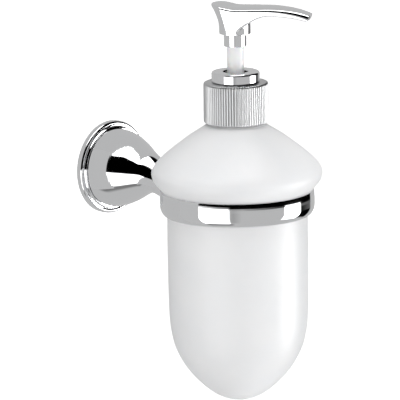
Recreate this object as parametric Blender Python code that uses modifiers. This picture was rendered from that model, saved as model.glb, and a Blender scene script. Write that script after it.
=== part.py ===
"""Wall mounted soap dispenser: rosette and arm, holder ring, glass bottle and lotion pump.

Metres, +Z up. The origin is the middle of the rosette's back, on the wall plane y = 0.
The wall lies towards +Y, and the bottle stands out towards -Y.
"""
from math import cos, pi, radians, sin, sqrt

import bmesh
import bpy
from mathutils import Euler, Vector

mm = 0.001

# ---- driving dimensions -------------------------------------------------------------------
REACH = 91 * mm            # wall to bottle axis
GAP = 0.3 * mm             # clearance left between touching pieces

ROSETTE_R = 24.3 * mm
ROSETTE_DEPTH = 4.7 * mm   # wall to the seat of the arm
BRACKET_R = 17 * mm
BRACKET_T = 2.4 * mm
SCREW_SPACING = 24 * mm    # between the two wall screws
WALL_SCREW_R = 1.75 * mm
WALL_SCREW_LENGTH = 16 * mm

BELL_R = 20.9 * mm         # wide end of the arm, on the rosette
ARM_END_R = 6.2 * mm       # narrow end of the arm, on the ring
ARM_DROP = 6.2 * mm        # how far the narrow end sits below the bell's axis
BELL_WALL = 2.6 * mm

RING_R = 39.4 * mm
RING_BORE = 37.0 * mm
RING_TOP = -0.1 * mm
RING_BOTTOM = -12.8 * mm

GLASS_WALL = 2.4 * mm
NECK_R = 13.2 * mm
NECK_BORE = 11.4 * mm
NECK_TOP = 50.2 * mm
THREAD_R = 14.1 * mm       # crest of the neck's thread beads

CLOSURE_R = 16.4 * mm
CLOSURE_BORE = 14.5 * mm
CLOSURE_TOP = 55.0 * mm
CLOSURE_BOTTOM = 34.7 * mm
CLOSURE_PLATE = 1.4 * mm
RIB_COUNT = 72
RIB_DEPTH = 0.45 * mm

COLLAR_R = 12.2 * mm
COLLAR_TOP = 60.5 * mm
COLLAR_HOLE = 6.35 * mm

BARREL_R = 6.3 * mm        # pump housing
BARREL_BORE = 5.3 * mm
BARREL_FLOOR = 3.0 * mm
STEM_R = 4.25 * mm
STEM_BORE = 2.2 * mm
STEM_TOP = 84.5 * mm
PISTON_TOP = 31.4 * mm
PISTON_BOTTOM = 26.0 * mm
SPRING_R = 4.1 * mm
SPRING_WIRE_R = 0.4 * mm
SPRING_TURNS = 7
TUBE_R = 2.0 * mm
TUBE_BORE = 1.2 * mm
TUBE_END = -99 * mm

FERRULE_R = 5.65 * mm
FERRULE_BOTTOM = 73.4 * mm
HEAD_BOTTOM = 80.0 * mm
HEAD_CUP_R = 8.0 * mm
HEAD_BACK = 12.3 * mm      # thumb pad behind the pump axis
HEAD_YAW = radians(30)     # spout's turn from straight out towards +X

ROUND_STEPS = 32
SMALL_STEPS = 20
RING_STEPS = 48

AXIS = Vector((0, -REACH, 0))        # the bottle's and pump's axis
OUTWARD = Euler((pi / 2, 0, 0))      # a turned shape's own Z then points away from the wall


# ---- scene and materials ------------------------------------------------------------------
def clear_scene():
    for thing in list(bpy.data.objects):
        bpy.data.objects.remove(thing, do_unlink=True)


def new_collection(name):
    made = bpy.data.collections.new(name)
    bpy.context.scene.collection.children.link(made)
    return made


def finish(name, colour, roughness, metallic=0.0):
    made = bpy.data.materials.get(name) or bpy.data.materials.new(name)
    made.use_nodes = True
    shader = made.node_tree.nodes["Principled BSDF"]
    shader.inputs["Base Color"].default_value = (*colour, 1)
    shader.inputs["Roughness"].default_value = roughness
    shader.inputs["Metallic"].default_value = metallic
    return made


def chrome():
    return finish("chrome", (0.80, 0.81, 0.82), 0.06, 1.0)


def zinc():
    return finish("zinc_plate", (0.55, 0.56, 0.57), 0.35, 1.0)


def steel():
    return finish("steel", (0.62, 0.62, 0.63), 0.25, 1.0)


def frosted_glass():
    return finish("frosted_glass", (0.90, 0.91, 0.92), 0.5)


def white_plastic():
    return finish("white_plastic", (0.88, 0.88, 0.86), 0.35)


def clear_plastic():
    return finish("clear_plastic", (0.80, 0.82, 0.83), 0.2)


def black_rubber():
    return finish("black_rubber", (0.02, 0.02, 0.02), 0.7)


# ---- modelling helpers --------------------------------------------------------------------
def link(name, mesh, collection, material=None):
    made = bpy.data.objects.new(name, mesh)
    collection.objects.link(made)
    if material:
        mesh.materials.append(material)
    return made


def turned(name, outline, collection, material=None, at=AXIS, turn=Euler(), steps=ROUND_STEPS,
           closed=True):
    """A turned solid. The outline's (radius, height) points run down the outer side first."""
    mesh = bpy.data.meshes.new(name)
    points = [(r, 0, z) for r, z in outline]
    edges = [(i, i + 1) for i in range(len(points) - 1)]
    if closed:
        edges.append((len(points) - 1, 0))
    mesh.from_pydata(points, edges, [])
    made = link(name, mesh, collection, material)
    made.location = at
    made.rotation_euler = turn
    screw = made.modifiers.new("turn", "SCREW")
    screw.steps = steps
    screw.render_steps = steps
    screw.use_merge_vertices = True
    screw.merge_threshold = 0.00001
    screw.use_smooth_shade = True
    return made


def arc(centre, radius, start, end, count):
    """Points round part of a circle. Angles are in degrees from +radius towards +height."""
    angles = [radians(start + (end - start) * i / count) for i in range(count + 1)]
    return [(centre[0] + radius * cos(a), centre[1] + radius * sin(a)) for a in angles]


def smooth(points, count):
    """A Catmull-Rom curve through the points, with count steps between each two."""
    ends = [points[0]] + list(points) + [points[-1]]
    out = []
    for i in range(1, len(ends) - 2):
        a, b, c, d = (Vector(p) for p in ends[i - 1:i + 3])
        for step in range(count):
            t = step / count
            spot = 0.5 * (2 * b + (c - a) * t + (2 * a - 5 * b + 4 * c - d) * t ** 2
                          + (3 * b - a - 3 * c + d) * t ** 3)
            out.append(tuple(spot))
    out.append(tuple(points[-1]))
    return out


def inset(points, distance):
    """The same open line moved sideways, to its right as the points run."""
    out = []
    for i, spot in enumerate(points):
        before = Vector(points[max(i - 1, 0)])
        after = Vector(points[min(i + 1, len(points) - 1)])
        along = (after - before).normalized()
        out.append((spot[0] + along.y * distance, spot[1] - along.x * distance))
    return out


def plate(name, outline, thickness, collection, location, rotation):
    """A flat outline given its thickness, as a closed mesh."""
    curve = bpy.data.curves.new(name, "CURVE")
    curve.dimensions = "2D"
    curve.fill_mode = "BOTH"
    curve.extrude = thickness / 2
    spline = curve.splines.new("POLY")
    spline.points.add(len(outline) - 1)
    for point, (x, y) in zip(spline.points, outline):
        point.co = (x, y, 0, 1)
    spline.use_cyclic_u = True
    made = link(name, curve, collection)
    made.location = location
    made.rotation_euler = rotation
    return meshed(made, collection)


def meshed(curve_object, collection, material=None):
    """The closed mesh of a curve object, in the curve's place."""
    bpy.context.view_layer.update()
    ready = curve_object.evaluated_get(bpy.context.evaluated_depsgraph_get())
    mesh = bpy.data.meshes.new_from_object(ready)
    work = bmesh.new()
    work.from_mesh(mesh)
    bmesh.ops.remove_doubles(work, verts=work.verts, dist=0.000002)
    bmesh.ops.recalc_face_normals(work, faces=work.faces)
    work.to_mesh(mesh)
    work.free()
    name = curve_object.name
    place = curve_object.matrix_world.copy()
    old = curve_object.data
    bpy.data.objects.remove(curve_object)
    bpy.data.curves.remove(old)
    made = link(name, mesh, collection, material)
    made.matrix_world = place
    return made


def combine(target, other, operation):
    cut = target.modifiers.new(other.name, "BOOLEAN")
    cut.operation = operation
    cut.object = other
    cut.solver = "EXACT"
    other.hide_render = True
    other.display_type = "WIRE"


def wire(name, points, radius, collection, sides=2):
    """A round wire along the points, with closed ends."""
    curve = bpy.data.curves.new(name, "CURVE")
    curve.dimensions = "3D"
    curve.bevel_depth = radius
    curve.bevel_resolution = sides
    curve.use_fill_caps = True
    spline = curve.splines.new("POLY")
    spline.points.add(len(points) - 1)
    for point, spot in zip(spline.points, points):
        point.co = (*spot, 1)
    return link(name, curve, collection)


def disc(radius, low, high):
    return [(0, high), (radius, high), (radius, low), (0, low)]


def pipe(outer, bore, low, high):
    return [(outer, high), (outer, low), (bore, low), (bore, high)]


# ---- wall side ----------------------------------------------------------------------------
def countersunk_screw(name, head_r, head_h, shank_r, length, point, at, turn, material):
    """A screw whose head's flat top is at height 0 and whose shank runs down."""
    outline = [(0, 0), (head_r, 0), (head_r, -0.3 * mm), (shank_r, -head_h),
               (shank_r, -length + point), (0.3 * mm if point else shank_r, -length), (0, -length)]
    return turned(name, outline, parts, material, at, turn, SMALL_STEPS, closed=False)


def wall_bracket():
    """The disc screwed to the wall, dished in its middle to clear the arm bolt's head."""
    outline = [(0, 0.8 * mm), (6.6 * mm, 0.8 * mm), (6.6 * mm, BRACKET_T), (BRACKET_R, BRACKET_T),
               (BRACKET_R, 0), (0, 0)]
    body = turned("wall_bracket", outline, parts, zinc(), Vector(), OUTWARD, closed=False)
    for sign in (-1, 1):
        hole_r = WALL_SCREW_R + 0.35 * mm
        rim_r = 4.1 * mm
        hole = [(0, BRACKET_T + mm), (rim_r, BRACKET_T + mm), (rim_r, BRACKET_T - 0.25 * mm),
                (hole_r, BRACKET_T - 2.05 * mm), (hole_r, -mm), (0, -mm)]
        spot = Vector((0, 0, sign * SCREW_SPACING / 2))
        cutter = turned("screw_hole_" + str(sign), hole, cutters, None, spot, OUTWARD,
                        SMALL_STEPS, closed=False)
        combine(body, cutter, "DIFFERENCE")


def wall_screws():
    for name, sign in (("wall_screw_upper", 1), ("wall_screw_lower", -1)):
        spot = Vector((0, -BRACKET_T + 0.1 * mm, sign * SCREW_SPACING / 2))
        countersunk_screw(name, 3.6 * mm, 2.1 * mm, WALL_SCREW_R, WALL_SCREW_LENGTH, 3 * mm,
                          spot, OUTWARD, steel())


def rosette():
    """The round cover with a rolled rim, a groove, and a seat for the arm's bell."""
    rim = arc((ROSETTE_R - 1.4 * mm, 2.6 * mm), 1.4 * mm, 80, 0, 3)
    outline = [(21.9 * mm, ROSETTE_DEPTH), (22.2 * mm, 4.1 * mm)] + rim
    outline += [(ROSETTE_R, 0.4 * mm), (ROSETTE_R - 0.3 * mm, 0.05 * mm)]
    outline += [(BRACKET_R + GAP, 0.05 * mm), (BRACKET_R + GAP, BRACKET_T + 0.5 * mm)]
    outline += [(2.9 * mm, BRACKET_T + 0.5 * mm), (2.9 * mm, ROSETTE_DEPTH)]
    body = turned("rosette", outline, parts, chrome(), Vector(), OUTWARD)
    hole = turned("grub_hole", disc(1.6 * mm, -26 * mm, -15 * mm), cutters, None,
                  Vector((0, -1.85 * mm, 0)), Euler(), 16, closed=False)
    combine(body, hole, "DIFFERENCE")


def grub_screw():
    outline = [(0, -17.6 * mm), (0.8 * mm, -17.6 * mm), (1.3 * mm, -18.2 * mm),
               (1.3 * mm, -23.2 * mm), (0.75 * mm, -23.2 * mm), (0.75 * mm, -21.4 * mm),
               (0, -21.4 * mm)]
    turned("grub_screw", outline, parts, steel(), Vector((0, -1.85 * mm, 0)), Euler(), 16,
           closed=False)


def arm_bolt():
    """The low headed bolt that pulls the arm against the rosette, its head in the dish."""
    top = BRACKET_T + 0.2 * mm
    foot = 1.1 * mm
    outline = [(0, top + 10.5 * mm), (2.3 * mm, top + 10.5 * mm), (2.3 * mm, top),
               (4.6 * mm, top), (4.6 * mm, foot), (1.5 * mm, foot),
               (1.5 * mm, foot + 0.9 * mm), (0, foot + 0.9 * mm)]
    turned("arm_bolt", outline, parts, steel(), Vector(), OUTWARD, SMALL_STEPS, closed=False)


def arm_radius_points():
    """Distance from the wall and radius, from the bell's foot to the narrow end."""
    return [(5.0, 20.9), (9.4, 20.1), (14.4, 18.4), (19.4, 16.2), (24.9, 13.2),
            (29.4, 10.9), (34.0, 9.0), (39.0, 7.6), (45.0, 6.6), (51.0, 6.2)]


def support_arm():
    """The bell that narrows away from the wall, then dips to meet the ring's band."""
    seat = ROSETTE_DEPTH + GAP
    end = REACH - RING_R - GAP
    outer = [(r * mm, d * mm) for d, r in reversed(arm_radius_points()[1:-1])]
    outline = [(ARM_END_R, end)] + outer + [(BELL_R, seat + 0.5 * mm), (BELL_R - 0.4 * mm, seat)]
    outline += [(BELL_R - BELL_WALL, seat), (16.2 * mm, 12 * mm), (12 * mm, 17 * mm),
                (4.6 * mm, 17 * mm), (4.6 * mm, seat), (2.7 * mm, seat), (2.7 * mm, 14.5 * mm),
                (0, 14.5 * mm)]
    outline = [(0, end)] + outline
    body = turned("support_arm_blank", outline, cutters, None, Vector(), Euler(), ROUND_STEPS,
                  closed=False)
    bpy.context.view_layer.update()
    ready = body.evaluated_get(bpy.context.evaluated_depsgraph_get())
    mesh = bpy.data.meshes.new_from_object(ready)
    bpy.data.objects.remove(body)
    start, stop = 30 * mm, 47 * mm
    for vertex in mesh.vertices:
        t = min(max((vertex.co.z - start) / (stop - start), 0), 1)
        vertex.co.y -= ARM_DROP * t * t * (3 - 2 * t)
    arm = link("support_arm", mesh, parts, chrome())
    arm.rotation_euler = OUTWARD
    shell = turned("ring_clearance", disc(RING_R + GAP, -30 * mm, 20 * mm), cutters, None,
                   AXIS, Euler(), 96, closed=False)
    combine(arm, shell, "DIFFERENCE")
    bore = turned("ring_screw_hole", disc(1.8 * mm, 0, 22 * mm), cutters, None,
                  Vector((0, -REACH + 32 * mm, -ARM_DROP)), Euler((-pi / 2, 0, 0)), 16,
                  closed=False)
    combine(arm, bore, "DIFFERENCE")


# ---- holder ring --------------------------------------------------------------------------
def holder_ring():
    """The band. Its top edge slopes like the glass above it, and its foot turns in."""
    foot = arc((RING_R - 3.0 * mm, RING_BOTTOM + 5.0 * mm), 3.0 * mm, 0, -30, 2)
    outline = [(RING_R - 0.5 * mm, RING_TOP), (RING_R, RING_TOP - 0.6 * mm)] + foot
    outline += [(RING_R - 1.5 * mm, RING_BOTTOM + 1.6 * mm), (36.5 * mm, RING_BOTTOM)]
    outline += [(36.2 * mm, RING_BOTTOM + 0.3 * mm), (36.2 * mm, RING_BOTTOM + 1.6 * mm)]
    outline += [(RING_BORE, RING_BOTTOM + 1.9 * mm), (RING_BORE, -3.2 * mm)]
    body = turned("holder_ring", outline, parts, chrome(), steps=RING_STEPS)
    hole = [(0, 3 * mm), (3.6 * mm, 3 * mm), (3.6 * mm, 0), (1.8 * mm, -2.0 * mm),
            (1.8 * mm, -8 * mm), (0, -8 * mm)]
    cutter = turned("ring_screw_seat", hole, cutters, None,
                    Vector((0, -REACH + RING_BORE, -ARM_DROP)), Euler((pi / 2, 0, 0)),
                    SMALL_STEPS, closed=False)
    combine(body, cutter, "DIFFERENCE")


def ring_screw():
    spot = Vector((0, -REACH + RING_BORE + 0.1 * mm, -ARM_DROP))
    countersunk_screw("ring_screw", 3.05 * mm, 1.75 * mm, 1.45 * mm, 12 * mm, 0,
                      spot, OUTWARD, steel())


def ring_liner():
    """The plastic sleeve that keeps the glass off the metal."""
    outline = pipe(RING_BORE - GAP, 36.15 * mm, RING_BOTTOM + 2.2 * mm, -5.6 * mm)
    turned("ring_liner", outline, parts, clear_plastic(), steps=RING_STEPS)


# ---- bottle -------------------------------------------------------------------------------
def bottle_outline():
    """The bottle's outer side below the neck, from the shoulder's start to the apex."""
    points = [(13.2, 36.0), (14.4, 33.9), (18.6, 31.0), (24.2, 27.4), (30.3, 22.8), (36.3, 18.0),
              (41.2, 13.2), (43.2, 10.0), (43.4, 7.4), (42.4, 4.6), (40.2, 1.8),
              (37.4, -1.4), (36.0, -4.6), (35.8, -12.0), (35.9, -38.0), (35.6, -53.0),
              (35.0, -67.2), (33.8, -74.6), (31.5, -82.1), (27.4, -89.7), (21.2, -97.5),
              (12.6, -105.4), (5.3, -109.3), (0, -110.3)]
    return [(r * mm, z * mm) for r, z in points]


def thread_beads():
    """The neck's side: two rounded thread beads above a plain foot."""
    outline = [(NECK_BORE, NECK_TOP), (NECK_R - 0.4 * mm, NECK_TOP), (NECK_R, NECK_TOP - 0.4 * mm)]
    for top in (NECK_TOP - 2.2 * mm, NECK_TOP - 6.0 * mm):
        outline += [(NECK_R, top), (THREAD_R, top - 0.7 * mm), (THREAD_R, top - 1.1 * mm),
                    (NECK_R, top - 1.8 * mm)]
    return outline


def glass_bottle():
    outer = bottle_outline()
    inner = inset(outer, GLASS_WALL)[2:-1]
    inner = [p for p in inner if p[0] > NECK_BORE or p[1] < -50 * mm]
    apex = (0, outer[-1][1] + GLASS_WALL * 1.1)
    inside = [apex] + list(reversed(inner)) + [(NECK_BORE, 33.5 * mm)]
    outline = inside + thread_beads() + outer
    turned("glass_bottle", outline, parts, frosted_glass(), closed=False)


# ---- pump: fixed pieces -------------------------------------------------------------------
def neck_gasket():
    outline = pipe(NECK_R, 10.7 * mm, NECK_TOP + GAP, NECK_TOP + 1.3 * mm)
    turned("neck_gasket", outline, parts, white_plastic())


def pump_housing():
    flange = NECK_TOP + 1.6 * mm
    outline = [(8.5 * mm, 57.0 * mm), (8.5 * mm, flange + 1.5 * mm), (13.6 * mm, flange + 1.5 * mm),
               (13.6 * mm, flange), (BARREL_R, flange), (BARREL_R, 1.0 * mm),
               (3.7 * mm, -3.0 * mm), (3.4 * mm, -8.0 * mm), (TUBE_R + GAP, -8.0 * mm),
               (TUBE_R + GAP, -2.5 * mm), (1.4 * mm, -2.5 * mm), (1.4 * mm, -1.0 * mm),
               (2.7 * mm, 0.2 * mm), (2.7 * mm, BARREL_FLOOR), (BARREL_BORE, BARREL_FLOOR),
               (BARREL_BORE, 57.0 * mm)]
    turned("pump_housing", outline, parts, white_plastic(), steps=32)


def dip_tube():
    turned("dip_tube", pipe(TUBE_R, TUBE_BORE, TUBE_END, -2.8 * mm), parts, clear_plastic(),
           steps=16)


def stem_seal():
    turned("stem_seal", pipe(8.2 * mm, STEM_R + GAP, 57.3 * mm, 58.3 * mm), parts, black_rubber(),
           steps=32)


def locking_collar():
    """The smooth chrome collar above the cap, snapped over the housing through the cap."""
    edge = arc((COLLAR_R - 1.0 * mm, COLLAR_TOP - 1.0 * mm), 1.0 * mm, 90, 0, 3)
    outline = [(COLLAR_HOLE, COLLAR_TOP)] + edge
    outline += [(COLLAR_R, CLOSURE_TOP + GAP), (10.3 * mm, CLOSURE_TOP + GAP),
                (10.3 * mm, NECK_TOP + 3.6 * mm), (8.8 * mm, NECK_TOP + 3.6 * mm),
                (8.8 * mm, 58.6 * mm), (COLLAR_HOLE, 58.6 * mm)]
    turned("locking_collar", outline, parts, chrome())


def ribbed_cap():
    """The screw cap: a ribbed skirt, a flat top with a hole for the collar."""
    outline = []
    for rib in range(RIB_COUNT):
        for part_way, depth in ((0, 0), (0.5, RIB_DEPTH)):
            angle = 2 * pi * (rib + part_way) / RIB_COUNT
            radius = CLOSURE_R - depth
            outline.append((radius * cos(angle), radius * sin(angle)))
    height = CLOSURE_TOP - CLOSURE_BOTTOM
    body = plate("ribbed_cap", outline, height, parts,
                 AXIS + Vector((0, 0, (CLOSURE_TOP + CLOSURE_BOTTOM) / 2)), Euler())
    body.data.materials.append(chrome())
    inner = CLOSURE_TOP - CLOSURE_PLATE
    hole = [(0, CLOSURE_TOP + mm), (10.6 * mm, CLOSURE_TOP + mm), (10.6 * mm, inner),
            (CLOSURE_BORE, inner), (CLOSURE_BORE, CLOSURE_BOTTOM + mm),
            (CLOSURE_BORE + 0.6 * mm, CLOSURE_BOTTOM - mm), (0, CLOSURE_BOTTOM - mm)]
    cutter = turned("cap_hollow", hole, cutters, closed=False)
    combine(body, cutter, "DIFFERENCE")


# ---- pump: moving pieces ------------------------------------------------------------------
def pump_stem():
    outline = [(STEM_R, STEM_TOP), (STEM_R, PISTON_TOP + GAP), (2.9 * mm, PISTON_TOP + GAP),
               (2.9 * mm, 25.0 * mm), (1.2 * mm, 25.0 * mm), (1.2 * mm, 27.5 * mm),
               (STEM_BORE, 28.2 * mm), (STEM_BORE, STEM_TOP)]
    turned("pump_stem", outline, parts, white_plastic(), steps=SMALL_STEPS)


def piston():
    """The sliding seal, with a flexible lip at each end."""
    outer = BARREL_BORE - GAP
    waist = outer - 0.7 * mm
    outline = [(3.2 * mm, PISTON_TOP), (outer - 0.4 * mm, PISTON_TOP), (outer, PISTON_TOP - 1.0 * mm),
               (waist, PISTON_TOP - 1.7 * mm), (waist, PISTON_BOTTOM + 1.7 * mm),
               (outer, PISTON_BOTTOM + 1.0 * mm), (outer - 0.4 * mm, PISTON_BOTTOM),
               (3.2 * mm, PISTON_BOTTOM)]
    turned("piston", outline, parts, white_plastic(), steps=SMALL_STEPS)


def return_spring():
    """A coil whose middle line climbs evenly between two closed end turns."""
    low = BARREL_FLOOR + GAP + SPRING_WIRE_R
    high = PISTON_BOTTOM - GAP - SPRING_WIRE_R
    per_turn = 10
    total = SPRING_TURNS * per_turn
    points = []
    for i in range(total + 1):
        turn = i / per_turn
        climb = min(max((turn - 0.75) / (SPRING_TURNS - 1.5), 0), 1)
        closing = min(turn, 0.75) + max(turn - (SPRING_TURNS - 0.75), 0)
        z = low + closing * 0.9 * mm + climb * (high - low - 1.35 * mm)
        points.append((SPRING_R * cos(2 * pi * turn), SPRING_R * sin(2 * pi * turn), z))
    coil = wire("return_spring", points, SPRING_WIRE_R, parts)
    coil.location = AXIS
    coil.data.materials.append(steel())


def ball(name, radius, height):
    mesh = bpy.data.meshes.new(name)
    work = bmesh.new()
    bmesh.ops.create_uvsphere(work, u_segments=16, v_segments=10, radius=radius)
    for face in work.faces:
        face.smooth = True
    work.to_mesh(mesh)
    work.free()
    made = link(name, mesh, parts, steel())
    made.location = AXIS + Vector((0, 0, height))


def valve_balls():
    inlet_r, inlet_seat = 2.2 * mm, 1.4 * mm
    outlet_r, outlet_seat = 1.8 * mm, 1.2 * mm
    ball("inlet_ball", inlet_r, -1.0 * mm + sqrt(inlet_r ** 2 - inlet_seat ** 2) + 0.7 * mm)
    ball("outlet_ball", outlet_r, 27.5 * mm + sqrt(outlet_r ** 2 - outlet_seat ** 2) + 0.6 * mm)


def ferrule():
    outline = pipe(FERRULE_R, STEM_R + GAP, FERRULE_BOTTOM, HEAD_BOTTOM - GAP)
    turned("ferrule", outline, parts, chrome(), steps=32)


def head_top_line():
    """The head's top, from the thumb pad to the spout's tip: distance forward and height."""
    points = [(-12.2, 95.4), (-9.0, 95.3), (-3.0, 93.9), (3.0, 93.5), (10.0, 94.0), (18.0, 94.2),
              (26.0, 93.5), (33.0, 92.0), (40.0, 89.9)]
    return smooth([(x * mm, z * mm) for x, z in points], 2)


def head_arch_line():
    """The spout's underside, from the tip back to the cup."""
    points = [(38.6, 86.7), (33.0, 88.2), (26.0, 89.2), (19.0, 89.2), (13.0, 87.9), (7.6, 85.4)]
    return smooth([(x * mm, z * mm) for x, z in points], 2)


def head_plan():
    """Half widths of the head seen from above, from the back to the tip."""
    points = [(-12.3, 0.6), (-11.4, 4.4), (-8.6, 7.6), (-3.0, 9.5), (4.0, 9.3), (12.0, 8.0),
              (22.0, 6.5), (32.0, 5.3), (39.4, 4.7), (40.2, 3.6)]
    side = smooth([(x * mm, w * mm) for x, w in points], 2)
    return side + [(x, -w) for x, w in reversed(side)]


def head_cup():
    """The cup round the stem, a loft from a circle up to the thumb pad's egg shape."""
    levels = 6
    top = 96.5 * mm
    work = bmesh.new()
    rings = []
    for level in range(levels + 1):
        t = level / levels
        flare = t ** 1.25
        ring = []
        for step in range(32):
            angle = 2 * pi * step / 32
            length = HEAD_BACK if cos(angle) < 0 else HEAD_CUP_R
            x = cos(angle) * (HEAD_CUP_R + (length - HEAD_CUP_R) * flare)
            y = sin(angle) * (HEAD_CUP_R + 1.5 * mm * flare)
            ring.append(work.verts.new((-y, -x, HEAD_BOTTOM + (top - HEAD_BOTTOM) * t)))
        rings.append(ring)
    for low, high in zip(rings, rings[1:]):
        for i in range(32):
            j = (i + 1) % 32
            work.faces.new((low[i], low[j], high[j], high[i]))
    work.faces.new(rings[0])
    work.faces.new(rings[-1])
    bmesh.ops.recalc_face_normals(work, faces=work.faces)
    mesh = bpy.data.meshes.new("head_cup")
    work.to_mesh(mesh)
    work.free()
    made = link("head_cup", mesh, cutters)
    made.location = AXIS
    made.rotation_euler = (0, 0, HEAD_YAW)
    return made


def pump_head():
    """The press head: a cup on the stem, a thumb pad behind and a drooping spout."""
    upright = Euler((pi / 2, 0, HEAD_YAW - pi / 2))
    flat = Euler((0, 0, HEAD_YAW - pi / 2))
    top = head_top_line()
    arch = head_arch_line()
    blade_side = top + arch + [(0, 88.5 * mm), (-9.4 * mm, 91.0 * mm)]
    body_side = top + arch + [(7.6 * mm, 70 * mm), (-20 * mm, 70 * mm), (-20 * mm, 95.4 * mm)]
    blade_side_cut = plate("blade_side", blade_side, 40 * mm, cutters, AXIS, upright)
    body_side_cut = plate("body_side", body_side, 40 * mm, cutters, AXIS, upright)
    head = plate("pump_head", head_plan(), 30 * mm, parts, AXIS + Vector((0, 0, 90 * mm)), flat)
    head.data.materials.append(chrome())
    combine(head, blade_side_cut, "INTERSECT")
    cup = head_cup()
    combine(cup, body_side_cut, "INTERSECT")
    combine(head, cup, "UNION")
    socket = turned("stem_socket", disc(STEM_R + GAP, 70 * mm, STEM_TOP + GAP), cutters, None,
                    AXIS, Euler(), SMALL_STEPS, closed=False)
    combine(head, socket, "DIFFERENCE")
    path = [(0, 80), (0, 90.2), (8, 91.2), (20, 91.6), (30, 90.4), (44, 86.6)]
    points = [(x * mm * sin(HEAD_YAW), -x * mm * cos(HEAD_YAW), z * mm) for x, z in path]
    channel = wire("spout_channel", points, 1.2 * mm, cutters)
    channel.location = AXIS
    combine(head, meshed(channel, cutters), "DIFFERENCE")


clear_scene()
parts = new_collection("wall_soap_dispenser")
cutters = new_collection("cutters")

wall_bracket()
wall_screws()
rosette()
grub_screw()
arm_bolt()
support_arm()
holder_ring()
ring_screw()
ring_liner()
glass_bottle()
neck_gasket()
pump_housing()
dip_tube()
stem_seal()
locking_collar()
ribbed_cap()
pump_stem()
piston()
return_spring()
valve_balls()
ferrule()
pump_head()
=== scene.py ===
from math import asin, atan2, cos, pi, radians, sin, tan

import bpy
from mathutils import Matrix, Vector


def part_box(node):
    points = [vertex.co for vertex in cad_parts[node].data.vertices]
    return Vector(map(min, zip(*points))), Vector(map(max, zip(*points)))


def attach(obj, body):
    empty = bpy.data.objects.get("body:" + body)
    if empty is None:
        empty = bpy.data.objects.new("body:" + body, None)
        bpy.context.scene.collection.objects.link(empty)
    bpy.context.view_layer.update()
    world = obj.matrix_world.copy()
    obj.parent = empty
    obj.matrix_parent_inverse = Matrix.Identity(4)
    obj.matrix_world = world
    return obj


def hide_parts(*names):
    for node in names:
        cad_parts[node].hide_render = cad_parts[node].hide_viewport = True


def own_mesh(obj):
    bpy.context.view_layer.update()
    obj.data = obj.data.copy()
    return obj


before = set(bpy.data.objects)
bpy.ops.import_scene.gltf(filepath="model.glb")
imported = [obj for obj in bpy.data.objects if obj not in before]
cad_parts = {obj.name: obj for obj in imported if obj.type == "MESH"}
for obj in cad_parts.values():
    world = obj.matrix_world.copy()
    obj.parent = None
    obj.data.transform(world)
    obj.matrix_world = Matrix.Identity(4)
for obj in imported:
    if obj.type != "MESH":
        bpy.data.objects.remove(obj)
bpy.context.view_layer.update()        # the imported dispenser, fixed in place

mm = 0.001      # pieces are sized in mm: heights above the holder ring's top, depths from the wall

# places read from the frame
bottleLow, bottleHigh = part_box("glass_bottle")
axisY = (bottleLow.y + bottleHigh.y) / 2      # the bottle and pump stand on this line
pumpAxis = Vector((0, axisY, 0))
wallAxis = Vector((0, 0, 0))


class Flow:
    # one value running through a material, so that sums read as plain maths
    def __init__(self, paint, socket):
        self.paint = paint
        self.socket = socket

    def combine(self, operation, other, flipped=False):
        pair = [other, self] if flipped else [self, other]
        return self.paint.add("ShaderNodeMath", {"operation": operation}, pair)

    def __add__(self, other):
        return self.combine("ADD", other)

    def __sub__(self, other):
        return self.combine("SUBTRACT", other)

    def __mul__(self, other):
        return self.combine("MULTIPLY", other)

    def __truediv__(self, other):
        return self.combine("DIVIDE", other)

    def __rsub__(self, other):
        return self.combine("SUBTRACT", other, True)

    __radd__ = __add__
    __rmul__ = __mul__

    def clamped(self, low, high):
        return self.combine("MAXIMUM", low).combine("MINIMUM", high)

    def spread(self, low, high):
        # 0 below low, 1 above high
        return ((self - low) / (high - low)).clamped(0, 1)


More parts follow.
